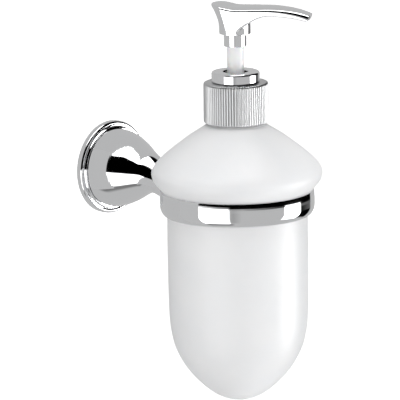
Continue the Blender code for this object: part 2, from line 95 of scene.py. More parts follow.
class Paint:
    # a material being mixed
    def __init__(self, name, tree=None):
        self.coords = None
        self.tree = tree
        if tree is None:
            self.material = bpy.data.materials.new(name)
            self.material.use_nodes = True
            self.tree = self.material.node_tree
            self.shader = self.tree.nodes["Principled BSDF"]

    def add(self, kind, settings=None, values=(), output=0):
        made = self.tree.nodes.new(kind)
        for key, value in (settings or {}).items():
            setattr(made, key, value)
        pairs = values.items() if isinstance(values, dict) else enumerate(values)
        for key, value in pairs:
            if isinstance(value, Flow):
                self.tree.links.new(value.socket, made.inputs[key])
            else:
                made.inputs[key].default_value = value
        self.last = made
        return Flow(self, made.outputs[output])

    def place(self, scale):
        if self.coords is None:
            self.coords = self.add("ShaderNodeTexCoord", output="Object")
        return self.add("ShaderNodeMapping", {"vector_type": "POINT"},
                        {"Vector": self.coords, "Scale": scale})

    def noise(self, size, detail=3, roughness=0.5, stretch=(1, 1, 1)):
        # cloudy spots of about this size
        spots = {"Vector": self.place(stretch), "Scale": 1 / size, "Detail": detail,
                 "Roughness": roughness}
        return self.add("ShaderNodeTexNoise", values=spots)

    def blend(self, amount, first, second):
        # one colour to another
        mix = self.tree.nodes.new("ShaderNodeMix")
        mix.data_type = "RGBA"
        for key, value in (("Factor", amount), ("A", first), ("B", second)):
            socket = [s for s in mix.inputs if s.name == key and s.enabled][0]
            if isinstance(value, Flow):
                self.tree.links.new(value.socket, socket)
            elif key == "Factor":
                socket.default_value = value
            else:
                socket.default_value = (*value, 1)
        return Flow(self, [s for s in mix.outputs if s.enabled][0])

    def bump(self, height, strength, distance):
        bumps = {"Height": height, "Strength": strength, "Distance": distance}
        return self.add("ShaderNodeBump", values=bumps, output="Normal")

    def feed(self, **values):
        # sockets by name, spaces left out
        for socket in self.shader.inputs:
            key = socket.name.replace(" ", "")
            key = key[0].lower() + key[1:]
            if key not in values:
                continue
            value = values.pop(key)
            if isinstance(value, Flow):
                self.tree.links.new(value.socket, socket)
            elif isinstance(value, tuple) and len(value) == 3 and socket.type == "RGBA":
                socket.default_value = (*value, 1)
            else:
                socket.default_value = value
        if values:
            raise KeyError("no such shader socket: " + ", ".join(values))
        return self.material


def clearSelection():
    if bpy.context.object and bpy.context.object.mode != "OBJECT":
        bpy.ops.object.mode_set(mode="OBJECT")
    bpy.ops.object.select_all(action="DESELECT")


def startEdit(kind="VERT"):
    bpy.ops.object.mode_set(mode="EDIT")
    bpy.ops.mesh.select_mode(type=kind)


def endEdit():
    bpy.ops.object.mode_set(mode="OBJECT")


def choose(piece, test, kind="VERT"):
    # selects vertices or faces by a test of their place, in edit mode
    endEdit()
    mesh = piece.data
    for part in (mesh.vertices, mesh.edges, mesh.polygons):
        part.foreach_set("select", [False] * len(part))
    if kind == "FACE":
        for face in mesh.polygons:
            face.select = test(face)
    else:
        for vertex in mesh.vertices:
            vertex.select = test(vertex.co)
    startEdit(kind)


def settle(piece, name, angle=32):
    # name, clean, turn outwards, smooth, and put the place in the mesh
    endEdit()
    clearSelection()
    piece.select_set(True)
    bpy.context.view_layer.objects.active = piece
    bpy.ops.object.transform_apply(location=True, rotation=True, scale=True)
    startEdit()
    bpy.ops.mesh.select_all(action="SELECT")
    bpy.ops.mesh.remove_doubles(threshold=0.000002)
    bpy.ops.mesh.normals_make_consistent(inside=False)
    endEdit()
    bpy.ops.object.shade_smooth_by_angle(angle=radians(angle))
    piece.name = name
    piece.data.name = name
    clearSelection()
    return piece


def finishModifier(piece, kind, **settings):
    clearSelection()
    piece.select_set(True)
    bpy.context.view_layer.objects.active = piece
    made = piece.modifiers.new(kind.lower(), kind)
    for key, value in settings.items():
        setattr(made, key, value)
    bpy.ops.object.modifier_apply(modifier=made.name)


def lathe(name, outline, centre=pumpAxis, towardRoom=False, sides=96, angle=32, notch=None,
          sag=None):
    # a circle grown along its axis, ring by ring; outline is (radius, height) in order round the
    # section, from axis to axis, or closing on itself
    outline = braced(outline)
    turn = (pi / 2, 0, 0) if towardRoom else (0, 0, 0)
    along = Vector((0, -1, 0)) if towardRoom else Vector((0, 0, 1))
    onAxis = outline[0][0] == 0
    ring = outline[1:-1] if onAxis else outline + outline[:1]
    radius, height = ring[0]
    clearSelection()
    bpy.ops.mesh.primitive_circle_add(vertices=sides, radius=radius, rotation=turn,
                                      location=centre + along * height,
                                      fill_type="TRIFAN" if onAxis else "NOTHING")
    piece = bpy.context.object
    piece.data.transform(piece.matrix_world)
    piece.matrix_world = Matrix.Identity(4)
    startEdit()
    if onAxis:
        choose(piece, lambda co: (co - centre - along * height).length < radius * 0.01)
        bpy.ops.transform.translate(value=along * (outline[0][1] - height))
        choose(piece, lambda co: (co - centre).cross(along).length > radius * 0.5)
    else:
        bpy.ops.mesh.select_all(action="SELECT")
    if notch:
        notch(piece)
    fallen = Vector((0, 0, sag(height) if sag else 0))
    bpy.ops.transform.translate(value=fallen)
    for nextRadius, nextHeight in ring[1:]:
        fall = Vector((0, 0, sag(nextHeight) if sag else 0))
        bpy.ops.mesh.extrude_edges_move(
            TRANSFORM_OT_translate={"value": along * (nextHeight - height) + fall - fallen})
        fallen = fall
        scale = nextRadius / radius
        pivot = centre + along * nextHeight + fall
        flat = (scale, 1, scale) if towardRoom else (scale, scale, 1)
        bpy.ops.transform.resize(value=flat, center_override=pivot)
        radius, height = nextRadius, nextHeight
    if onAxis:
        bpy.ops.mesh.extrude_edges_move(
            TRANSFORM_OT_translate={"value": along * (outline[-1][1] - height)})
        bpy.ops.mesh.merge(type="CENTER")
    return settle(piece, name, angle)


def braced(outline, reach=0.15 * mm):
    # extra rings beside the ends of long straight runs keep the shading flat along them
    out = [outline[0]]
    for first, last in zip(outline, outline[1:]):
        a, b = Vector(first), Vector(last)
        length = (b - a).length
        if length > 6 * reach and first[0] > 0:
            out.append(tuple(a + (b - a) * reach / length))
        if length > 6 * reach and last[0] > 0:
            out.append(tuple(b + (a - b) * reach / length))
        out.append(last)
    return out


def arc(centre, radius, start, end, count):
    # points round part of a circle, in degrees from outward towards upward
    steps = [radians(start + (end - start) * i / count) for i in range(count + 1)]
    return [(centre[0] + radius * cos(a), centre[1] + radius * sin(a)) for a in steps]


def flowing(points, count):
    # a smooth line through the points
    ends = [points[0]] + list(points) + [points[-1]]
    out = []
    for i in range(1, len(ends) - 2):
        a, b, c, d = (Vector(p) for p in ends[i - 1:i + 3])
        for step in range(count):
            t = step / count
            spot = 0.5 * (2 * b + (c - a) * t + (2 * a - 5 * b + 4 * c - d) * t ** 2
                          + (3 * b - a - 3 * c + d) * t ** 3)
            out.append(tuple(spot))
    return out + [tuple(points[-1])]


def softened(outline, radius, steps=4):
    # rounds each corner of a closed section; a corner is cut back by radius at most
    out = []
    count = len(outline)
    for i, corner in enumerate(outline):
        here = Vector(corner)
        before = Vector(outline[i - 1]) - here
        after = Vector(outline[(i + 1) % count]) - here
        cut = min(radius, before.length * 0.45, after.length * 0.45)
        first = here + before.normalized() * cut
        last = here + after.normalized() * cut
        for step in range(steps + 1):
            t = step / steps
            out.append(tuple(first * (1 - t) ** 2 + here * 2 * t * (1 - t) + last * t * t))
    return out


def inMm(points):
    return [(r * mm, h * mm) for r, h in points]


def install(piece, body, node, finish):
    piece.data.materials.clear()
    piece.data.materials.append(finish)
    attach(piece, body)
    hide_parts(node)


chromeLook = {"colour": (0.86, 0.865, 0.875), "haze": (0.03, 0.075)}
satinLook = {"colour": (0.62, 0.625, 0.63), "haze": 0.3}


def mixChrome():
    paint = Paint("polished_chrome")
    smear = paint.noise(14 * mm, 4, 0.6)
    film = paint.noise(2.2 * mm, 3, 0.5)
    low, high = chromeLook["haze"]
    haze = smear.spread(0.35, 0.7) * (high - low) * (0.6 + film * 0.4) + low
    ripple = paint.noise(9 * mm, 2, 0.4)
    return paint.feed(baseColor=chromeLook["colour"], metallic=1.0, roughness=haze,
                      normal=paint.bump(ripple, 0.02, 0.2 * mm))


def mixSatin():
    # plated plastic with fine ribs
    paint = Paint("satin_chrome")
    smear = paint.noise(10 * mm, 3, 0.5)
    grain = paint.noise(0.3 * mm, 2, 0.5)
    return paint.feed(baseColor=satinLook["colour"], metallic=1.0,
                      roughness=satinLook["haze"] + smear * 0.06,
                      normal=paint.bump(grain, 0.05, 0.02 * mm))


def mixFrosted():
    paint = Paint("frosted_glass")
    cloud = paint.noise(30 * mm, 3, 0.5)
    etch = paint.noise(0.35 * mm, 2, 0.6)
    colour = paint.blend(cloud.spread(0.3, 0.7), (0.86, 0.87, 0.885), (0.90, 0.905, 0.915))
    return paint.feed(baseColor=colour, roughness=0.36 + cloud * 0.08, specularIORLevel=0.5,
                      subsurfaceWeight=0.35, subsurfaceRadius=(0.9, 0.95, 1.0),
                      subsurfaceScale=4 * mm,
                      normal=paint.bump(etch, 0.08, 0.03 * mm))


def mixPlastic(name, colour, roughness, glow):
    paint = Paint(name)
    flowMarks = paint.noise(5 * mm, 2, 0.5, (1, 1, 0.3))
    grain = paint.noise(0.4 * mm, 2, 0.5)
    shade = paint.blend(flowMarks, tuple(c * 0.96 for c in colour), colour)
    return paint.feed(baseColor=shade, roughness=roughness + grain * 0.1,
                      subsurfaceWeight=glow, subsurfaceScale=2 * mm,
                      normal=paint.bump(grain, 0.06, 0.02 * mm))


def mixSteel(name, colour):
    paint = Paint(name)
    draw = paint.noise(0.5 * mm, 3, 0.6, (1, 0.15, 1))
    return paint.feed(baseColor=colour, metallic=1.0, roughness=0.22 + draw * 0.2,
                      normal=paint.bump(draw, 0.15, 0.02 * mm))


# black rubber for the stem seal, kept near black partly as painted shade for the dark deep in the
# collar's hole
def mixRubberWithShade():
    paint = Paint("black_rubber")
    grain = paint.noise(0.5 * mm, 3, 0.6)
    return paint.feed(baseColor=(0.018, 0.018, 0.019), roughness=0.55 + grain * 0.25,
                      normal=paint.bump(grain, 0.2, 0.03 * mm))


chrome = mixChrome()
satin = mixSatin()
frosted = mixFrosted()
whitePlastic = mixPlastic("white_plastic", (0.94, 0.945, 0.945), 0.3, 0.2)
clearPlastic = mixPlastic("clear_plastic", (0.78, 0.80, 0.81), 0.22, 0.3)
steel = mixSteel("plain_steel", (0.62, 0.62, 0.63))
zinc = mixSteel("zinc_plate", (0.58, 0.585, 0.60))
rubberWithShade = mixRubberWithShade()
print("finishes mixed")


rosetteSizes = {"rim": 24.3, "depth": 4.7, "groove": 21.6, "grooveFloor": 3.6, "recess": 17.3,
                "web": 2.9}


def makeRosette():
    size = rosetteSizes
    rim, depth = size["rim"], size["depth"]
    section = [(2.9, depth), (size["groove"] - 0.4, depth), (size["groove"], depth - 0.5),
               (size["groove"] + 0.25, size["grooveFloor"])]
    section += arc((rim - 1.5, size["grooveFloor"] - 1.1), 1.5, 84, 0, 10)
    section += [(rim, 0.6), (rim - 0.5, 0.05), (size["recess"], 0.05),
                (size["recess"], size["web"]), (2.9, size["web"])]
    piece = lathe("rosette_cover", softened(inMm(section), 0.25 * mm, 2), wallAxis, True, 128)
    install(piece, "mount", "rosette", chrome)


armSizes = {"foot": 20.9, "footSeat": 4.95, "drop": 6.2, "dropFrom": 30, "dropTo": 47, "end": 53.0,
            # radius and distance from the wall, outside and then the hollow behind
            "bell": [(20.9, 5.45), (20.1, 9.4), (18.4, 14.4), (16.2, 19.4), (13.2, 24.9),
                     (10.9, 29.4), (9.0, 34.0), (7.6, 39.0), (6.6, 45.0), (6.2, 53.0)],
            "hollow": [(0, 14.5), (2.7, 14.5), (2.7, 4.95), (4.6, 4.95), (4.6, 17), (12, 17),
                       (16.2, 12), (18.3, 4.95)]}


def armSag(height):
    size = armSizes
    t = (height / mm - size["dropFrom"]) / (size["dropTo"] - size["dropFrom"])
    t = min(max(t, 0), 1)
    return -size["drop"] * mm * t * t * (3 - 2 * t)


def makeArm():
    # a bell that narrows away from the wall, then dips behind the shoulder of the glass
    size = armSizes
    seat, foot = size["footSeat"], size["foot"]
    outline = size["hollow"] + [(foot - 0.5, seat), (foot - 0.15, seat + 0.15)]
    outline += flowing(size["bell"], 5) + [(0, size["end"])]
    piece = lathe("bell_arm", inMm(outline), wallAxis, True, 128, 32, None, armSag)
    cutRound(piece, pumpAxis, ringSizes["outer"] * mm + 0.05 * mm, 30 * mm, 256)
    settle(piece, "bell_arm")
    install(piece, "mount", "support_arm", chrome)


def cutRound(piece, centre, radius, height, sides):
    # cuts an upright cylinder out of a piece
    clearSelection()
    bpy.ops.mesh.primitive_cylinder_add(vertices=sides, radius=radius, depth=2 * height,
                                        location=centre)
    join(piece, bpy.context.object, "DIFFERENCE")


ringSizes = {"outer": 39.4, "top": -0.1, "bottom": -12.8, "lip": 36.4, "bore": 37.0,
             "turnIn": 5.2, "belly": -6.2}


def makeRing():
    # a band with a slightly full side and a foot that curls in under the glass
    size = ringSizes
    outer, lip, bottom = size["outer"], size["lip"], size["bottom"]
    curl = [(lip + (outer - lip) * cos(a), bottom + size["turnIn"] * (1 - sin(a)))
            for a in (radians(90 * i / 14) for i in range(15))]
    swell = [(outer - 0.0102 * (z - size["belly"]) ** 2, z) for z in (-0.55, -1.5, -2.5, -3.5, -4.7)]
    outline = [(outer - 0.85, size["top"]), (outer - 0.6, size["top"] - 0.04),
               (outer - 0.42, size["top"] - 0.18)] + swell
    outline += curl + [(36.2, bottom + 0.25), (36.2, bottom + 1.6), (size["bore"], bottom + 1.9),
                       (size["bore"], -3.2)]
    piece = lathe("ring_band", inMm(outline), pumpAxis, False, 192)
    install(piece, "mount", "holder_ring", chrome)


def makeLiner():
    section = [(36.7, -5.6), (36.7, -10.6), (36.15, -10.6), (36.15, -5.6)]
    piece = lathe("ring_sleeve", softened(inMm(section), 0.2 * mm, 2), sides=128)
    install(piece, "mount", "ring_liner", clearPlastic)


bottleSizes = {"wall": 2.4, "neck": 13.2, "neckBore": 11.4, "neckTop": 50.2, "bead": 14.1,
               # outside from under the neck, over the shoulder, down to the foot
               "side": [(13.2, 36.0), (14.4, 33.9), (18.6, 31.0), (24.2, 27.4), (30.3, 22.8),
                        (36.3, 18.0), (41.2, 13.2), (43.2, 10.0), (43.4, 7.4), (42.4, 4.6),
                        (40.2, 1.8), (37.4, -1.4), (36.0, -4.6), (35.8, -12.0), (35.9, -25.0),
                        (35.9, -38.0), (35.8, -53.0), (35.4, -67.2), (34.5, -74.6), (32.6, -82.1),
                        (28.9, -89.7), (23.1, -97.5), (14.4, -105.4), (6.4, -109.3),
                        (0.02, -110.3)]}


def makeBottle():
    size = bottleSizes
    outer = flowing(size["side"], 4)
    apex = size["side"][-1][1]
    inner = []
    for i in range(13, len(outer) - 1, 2):
        along = Vector((outer[i + 1][0] - outer[i - 1][0], outer[i + 1][1] - outer[i - 1][1]))
        along.normalize()
        here = outer[i]
        inner.append((here[0] + along.y * size["wall"], here[1] - along.x * size["wall"]))
    inner = [p for p in inner if p[0] > 0.6]
    neck = [(size["neckBore"], 33.0), (size["neckBore"], size["neckTop"] - 0.4),
            (size["neckBore"] + 0.4, size["neckTop"]), (size["neck"] - 0.5, size["neckTop"]),
            (size["neck"], size["neckTop"] - 0.5)]
    for top in (size["neckTop"] - 2.2, size["neckTop"] - 6.0):
        neck += [(size["neck"], top), (size["bead"] - 0.15, top - 0.6), (size["bead"], top - 0.9),
                 (size["bead"] - 0.15, top - 1.2), (size["neck"], top - 1.8)]
    outline = [(0, apex + size["wall"] * 1.1)] + inner[::-1][:-1] + neck + outer[:-1]
    outline += [(0, apex)]
    piece = lathe("bottle_glass", inMm(outline), sides=128, angle=60)
    install(piece, "bottle", "glass_bottle", frosted)


capSizes = {"top": 55.0, "bottom": 34.7, "radius": 16.35, "ribs": 72, "ribDepth": 0.42}


def notchRibs(piece):
    # pulls the first circle in between the ribs
    size = capSizes
    deep, shallow = size["ribDepth"], size["ribDepth"] * 0.35
    steps = size["ribs"] * 6
    for part, depth in ((0, deep), (1, shallow), (5, shallow)):
        def inGroove(co):
            turn = atan2(co.y - axisY, co.x) / (2 * pi) * steps
            return round(turn) % 6 == part
        choose(piece, inGroove)
        scale = 1 - depth / size["radius"]
        bpy.ops.transform.resize(value=(scale, scale, 1), center_override=pumpAxis)
    bpy.ops.mesh.select_all(action="SELECT")


def makeCap():
    size = capSizes
    top, bottom, radius = size["top"], size["bottom"], size["radius"]
    outline = [(radius - 0.9, top), (radius - 0.45, top - 0.12), (radius - 0.12, top - 0.45),
               (radius, top - 0.9), (radius + 0.05, (top + bottom) / 2), (radius + 0.1, bottom + 0.5),
               (radius - 0.1, bottom + 0.1), (radius - 0.5, bottom), (14.9, bottom),
               (14.5, bottom + 0.8), (14.5, top - 1.4), (10.6, top - 1.4), (10.6, top - 0.2),
               (10.8, top)]
    piece = lathe("screw_cap", inMm(outline), sides=size["ribs"] * 6, angle=45, notch=notchRibs)
    install(piece, "cap", "ribbed_cap", satin)


collarSizes = {"radius": 12.2, "top": 60.5, "foot": 55.3, "hole": 6.35, "round": 1.0}


def makeCollar():
    # smooth sleeve above the cap, snapped over the pump through the cap's hole
    size = collarSizes
    radius, top, hole = size["radius"], size["top"], size["hole"]
    outline = [(hole, top - 0.35), (hole + 0.1, top - 0.1), (hole + 0.35, top)]
    outline += arc((radius - size["round"], top - size["round"]), size["round"], 90, 0, 8)
    outline += [(radius, size["foot"] + 0.25), (radius - 0.25, size["foot"]), (10.3, size["foot"]),
                (10.3, 53.9), (8.8, 53.9), (8.8, 58.6), (hole, 58.6)]
    piece = lathe("snap_collar", inMm(outline), sides=128)
    install(piece, "pump", "locking_collar", chrome)


stemSizes = {"radius": 4.25, "bore": 2.2, "top": 84.5, "ferrule": 5.65, "ferruleFoot": 73.4,
             "ferruleTop": 79.9}


def makeStem():
    size = stemSizes
    section = [(size["radius"], size["top"]), (size["radius"], 31.7), (2.9, 31.7), (2.9, 25.0),
               (1.2, 25.0), (1.2, 27.5), (size["bore"], 28.2), (size["bore"], size["top"])]
    piece = lathe("stem_tube", softened(inMm(section), 0.15 * mm, 2), sides=96)
    install(piece, "head", "pump_stem", whitePlastic)


def makeFerrule():
    size = stemSizes
    section = [(size["ferrule"], size["ferruleTop"]), (size["ferrule"], size["ferruleFoot"]),
               (size["radius"] + 0.25, size["ferruleFoot"]),
               (size["radius"] + 0.25, size["ferruleTop"])]
    piece = lathe("stem_ferrule", softened(inMm(section), 0.35 * mm, 4), sides=96)
    install(piece, "head", "ferrule", chrome)


headSizes = {"yaw": 30, "cup": 7.97, "cupFoot": 79.97, "cupTop": 88, "socket": 4.5,
             "socketTop": 84.8, "nozzle": 1.15, "crown": 0.9, "sideLean": 10, "topEdge": 1.7,
             "lowEdge": 0.8, "web": 1.8,
             "bulge": [(80, 1.0), (82, 1.04), (84, 1.12), (86.3, 1.15), (89, 1.12), (91.6, 1.05),
                       (93.8, 0.98), (98, 0.96)],
             "back": [(78, 8), (84, 8), (86.3, 8.35), (89, 9.2), (91.6, 10.4), (93.8, 11.6),
                      (95.6, 12.4), (98, 12.6)],
             # stations, back to tip: forward and height of the top, then of the underside
             "stations": [(-16, 95.6, -16, 80), (-12.2, 95.4, -12, 80), (-10.2, 95.3, -10, 80),
                          (-7.0, 94.8, -7, 80), (-2.6, 93.8, -3, 80), (1.0, 93.3, 1.0, 80),
                          (4.5, 93.2, 4.4, 82.1), (7.6, 93.2, 7.5, 84.9), (10, 93.3, 9.7, 86.6),
                          (13, 93.3, 12.6, 88.2), (17, 93.4, 16.4, 89.5), (21, 93.3, 20.6, 89.7),
                          (26, 92.9, 25.6, 89.4), (31, 92.1, 30.4, 88.8), (35.4, 91.0, 34.6, 87.9),
                          (39.1, 89.7, 37.8, 87.0)],
             # half width of the flat sides along the head, at their upper edge
             "plan": [(-20, 9.9), (2, 9.9), (6, 9.65), (10, 9.25), (14, 8.83), (18, 8.4), (24, 7.78),
                      (30, 7.17), (38, 6.37), (45, 5.67)]}


def lookUp(table, place):
    # value of a two-column table at a place
    for (start, first), (end, last) in zip(table, table[1:]):
        if place <= end:
            return first + (last - first) * max(0, place - start) / (end - start)
    return table[-1][1]


def halfWidth(x, z=94):
    return lookUp(headSizes["plan"], x) + (z - 94) * tan(radians(headSizes["sideLean"]))


def wallColumns(stations):
    # upright lines of the head's side wall, each a function of height: round the back, then along
    # the flat side, which starts at a crease
    size = headSizes
    backRadius, bulge = flowing(size["back"], 4), flowing(size["bulge"], 4)

    def roundBack(share):
        def spot(z):
            radius, wide = lookUp(backRadius, z), lookUp(bulge, z)
            crease = asin(min(1, halfWidth(0, z) / wide / radius))
            turn = crease * share
            return Vector((-radius * cos(turn), wide * radius * sin(turn)))
        return spot

    def flatSide(topX, topZ, underX, underZ):
        def spot(z):
            x = underX + (topX - underX) * (z - underZ) / (topZ - underZ)
            return Vector((x, halfWidth(x, z)))
        return spot
    backColumns = [roundBack(i / 16) for i in range(17)]
    return backColumns + [flatSide(*station) for station in stations if station[0] > -2]


def headRow(column, nextColumn, topLine, underLine):
    # one half section: crown, rounded upper edge, side, rounded lower edge, underside
    size = headSizes
    edge = size["topEdge"]
    high = 94.0
    for _ in range(4):
        high = lookUp(topLine, column(high).x)
    low = 80.0
    for _ in range(4):
        low = lookUp(underLine, column(low).x)

    def inward(z):
        # level direction from the wall's surface into the head
        step = nextColumn(z) - column(z)
        return Vector((step.y, -step.x)).normalized()
    web = size["web"] * max(0, 1 - abs(column(low).x - 4.5) / 4.5)
    lowEdge = size["lowEdge"] + web
    shelf = column(high) + inward(high) * edge
    crown = size["crown"] * min(1, max(0, (shelf.x + 4) / 10))

    def topHeight(y):
        return lookUp(topLine, shelf.x) + crown * (1 - (y / halfWidth(shelf.x)) ** 2)
    row = [(shelf.x, shelf.y * i / 6, topHeight(shelf.y * i / 6)) for i in range(7)]
    row += rounded(row[-1], (*column(high), high), (*column(high - edge), high - edge))
    row += [(*column(z), z) for z in (high - edge + (low + lowEdge - high + edge) * i / 9
                                      for i in range(1, 9))]
    foot = column(low) + inward(low) * lowEdge
    row += [(*column(low + lowEdge), low + lowEdge)]
    row += rounded(row[-1], (*column(low), low), (foot.x, foot.y, low))
    row += [(foot.x, foot.y * i / 3, low) for i in (2, 1, 0)]
    return row


def rounded(start, corner, end, steps=7):
    a, b, c = Vector(start), Vector(corner), Vector(end)
    return [tuple(a * (1 - t) ** 2 + b * 2 * t * (1 - t) + c * t * t)
            for t in (i / steps for i in range(1, steps + 1))]


def headHalf():
    # a grid laid over one half of the head, mirrored to the other
    stations = flowing(headSizes["stations"], 4)
    topLine = [(s[0], s[1]) for s in stations]
    underLine = [(s[2], max(s[3], 80)) for s in stations]
    columns = wallColumns(stations)
    ahead = columns[1:] + [lambda z: columns[-1](z) + Vector((1, -0.12))]
    rows = [headRow(column, nextColumn, topLine, underLine)
            for column, nextColumn in zip(columns, ahead)]
    clearSelection()
    bpy.ops.mesh.primitive_grid_add(x_subdivisions=len(rows) - 1, y_subdivisions=len(rows[0]) - 1,
                                    size=2)
    piece = bpy.context.object
    for vertex in piece.data.vertices:
        number = round((vertex.co.x + 1) / 2 * (len(rows) - 1))
        step = round((vertex.co.y + 1) / 2 * (len(rows[0]) - 1))
        vertex.co = Vector(rows[number][step]) * mm
    finishModifier(piece, "MIRROR", use_axis=(False, True, False), merge_threshold=0.000002)
    startEdit()
    bpy.ops.mesh.select_all(action="SELECT")
    bpy.ops.mesh.remove_doubles(threshold=0.000002)
    bpy.ops.mesh.select_all(action="DESELECT")
    bpy.ops.mesh.select_non_manifold()        # only the open tip
    bpy.ops.mesh.edge_face_add()
    bpy.ops.mesh.select_all(action="SELECT")
    bpy.ops.mesh.normals_make_consistent(inside=False)
    endEdit()
    return piece


def flatSides():
    # a long wedge just inside the head's flat sides
    plan = headSizes["plan"]
    count = len(plan)
    clearSelection()
    bpy.ops.mesh.primitive_grid_add(x_subdivisions=count - 1, y_subdivisions=1, size=2)
    piece = bpy.context.object
    startEdit("FACE")
    bpy.ops.mesh.select_all(action="SELECT")
    bpy.ops.mesh.extrude_region_move(TRANSFORM_OT_translate={"value": (0, 0, -1)})
    endEdit()
    for vertex in piece.data.vertices:
        x = plan[round((vertex.co.x + 1) / 2 * (count - 1))][0]
        height = 104 if vertex.co.z > -0.5 else 72
        width = halfWidth(x, height) - 0.03
        vertex.co = Vector((x, width * (1 if vertex.co.y > 0 else -1), height)) * mm
    return piece


def join(piece, other, operation):
    finishModifier(piece, "BOOLEAN", operation=operation, object=other, solver="EXACT")
    bpy.data.objects.remove(other)


def plug(radius, low, high, sides=96):
    clearSelection()
    bpy.ops.mesh.primitive_cylinder_add(vertices=sides, radius=radius * mm, depth=(high - low) * mm,
                                        location=(0, 0, (low + high) / 2 * mm))
    return bpy.context.object


def makeHead():
    # the head's shell joined to the cup, then given the stem's socket and the spout's mouth
    size = headSizes
    piece = headHalf()
    cup = plug(size["cup"], size["cupFoot"], size["cupTop"])
    join(cup, flatSides(), "INTERSECT")
    join(piece, cup, "UNION")
    join(piece, plug(size["socket"], 70, size["socketTop"]), "DIFFERENCE")
    topX, topZ, underX, underZ = size["stations"][-1]
    mouth = plug(size["nozzle"], -7, 3, 32)
    mouth.location = Vector(((topX + underX) / 2, 0, (topZ + underZ) / 2 + 0.25)) * mm
    mouth.rotation_euler = (0, radians(108), 0)
    join(piece, mouth, "DIFFERENCE")
    piece.rotation_euler = (0, 0, radians(size["yaw"] - 90))
    piece.location = pumpAxis
    settle(piece, "press_head", 22)
    install(piece, "head", "pump_head", chrome)


# pieces out of sight at rest

wallSizes = {"plate": 17.0, "thick": 2.4, "dish": 6.6, "web": 0.8, "spacing": 24.0, "hole": 2.1,
             "sink": 4.1, "screwHead": 3.6, "screwShank": 1.75, "screwLength": 16.0}


def crossCutter(centre, width, span, depth):
    # two crossed bars, for a screw's driver recess; it faces the room
    bars = []
    for turn in (0, pi / 2):
        clearSelection()
        bpy.ops.mesh.primitive_cube_add(size=1, location=centre, rotation=(0, turn, 0))
        bars.append(bpy.context.object)
        bars[-1].scale = (span, depth * 2, width)
        bpy.ops.object.transform_apply(location=False, rotation=False, scale=True)
        startEdit("FACE")
        choose(bars[-1], lambda face: face.normal.y > 0.9, "FACE")      # narrows as it goes in
        bpy.ops.transform.resize(value=(0.35, 1, 0.6), center_override=centre)
        endEdit()
    join(bars[0], bars[1], "UNION")
    return bars[0]


def screwOutline(head, headHigh, shank, length, point, pitch=1.3):
    # countersunk head at the top, a ridged shank, a point at the foot
    outline = [(0, 0), (head - 0.2, 0), (head, -0.15), (head, -0.3), (shank, -headHigh)]
    low = -headHigh - 1.0
    while low > -(length - point) + pitch:
        outline += [(shank - 0.35, low), (shank, low - pitch * 0.35), (shank, low - pitch * 0.45),
                    (shank - 0.35, low - pitch * 0.8)]
        low -= pitch
    tip = 0.15 if point else shank - 0.4
    outline += [(shank - 0.35, -(length - point)), (tip, -length), (0, -length)]
    return outline


def makeWallSide():
    size = wallSizes
    thick, plate = size["thick"], size["plate"]
    section = [(0, size["web"]), (size["dish"] - 0.1, size["web"]), (size["dish"], size["web"] + 0.1),
               (size["dish"], thick - 0.2), (size["dish"] + 0.2, thick), (plate - 0.5, thick),
               (plate - 0.1, thick - 0.15), (plate, thick - 0.5), (plate, 0.2), (plate - 0.2, 0), (0, 0)]
    bracket = lathe("wall_plate", inMm(section), wallAxis, True, 96)
    for number, side in enumerate((1, -1)):
        spot = Vector((0, 0, side * size["spacing"] / 2 * mm))
        hole = [(0, thick + 1), (size["sink"] + 0.6, thick + 1), (size["sink"], thick - 0.25),
                (size["hole"], thick - 2.05), (size["hole"], -1), (0, -1)]
        cutter = lathe("hole", inMm(hole), spot, True, 48)
        join(bracket, cutter, "DIFFERENCE")
        outline = screwOutline(size["screwHead"], 2.1, size["screwShank"], size["screwLength"], 3)
        outline = [(r, h + thick - 0.1) for r, h in outline]
        name = ("wall_screw_top", "wall_screw_bottom")[number]
        screw = lathe(name, inMm(outline), spot, True, 32, 40)
        recess = crossCutter(spot + Vector((0, -thick + 0.1, 0)) * mm, 0.8 * mm, 3.8 * mm, 1.4 * mm)
        join(screw, recess, "DIFFERENCE")
        settle(screw, name, 35)
        install(screw, "mount", ("wall_screw_upper", "wall_screw_lower")[number], steel)
    settle(bracket, "wall_plate", 35)
    install(bracket, "mount", "wall_bracket", zinc)


def hexCutter(centre, radius, depth, towardRoom):
    clearSelection()
    turn = (pi / 2, 0, 0) if towardRoom else (0, 0, 0)
    bpy.ops.mesh.primitive_cylinder_add(vertices=6, radius=radius, depth=depth * 2, location=centre,
                                        rotation=turn)
    return bpy.context.object


fixingSizes = {"bolt": [(0, 13.1), (1.9, 13.1), (2.3, 12.7), (2.3, 2.75), (2.45, 2.6), (4.4, 2.6),
                        (4.6, 2.4), (4.6, 1.4), (4.3, 1.1), (0, 1.1)],
               "grub": 1.3, "grubTop": -17.6, "grubFoot": -23.2, "grubDepth": 1.85,
               "ringScrewHead": 3.05, "ringScrewShank": 1.45, "ringScrewLength": 12}


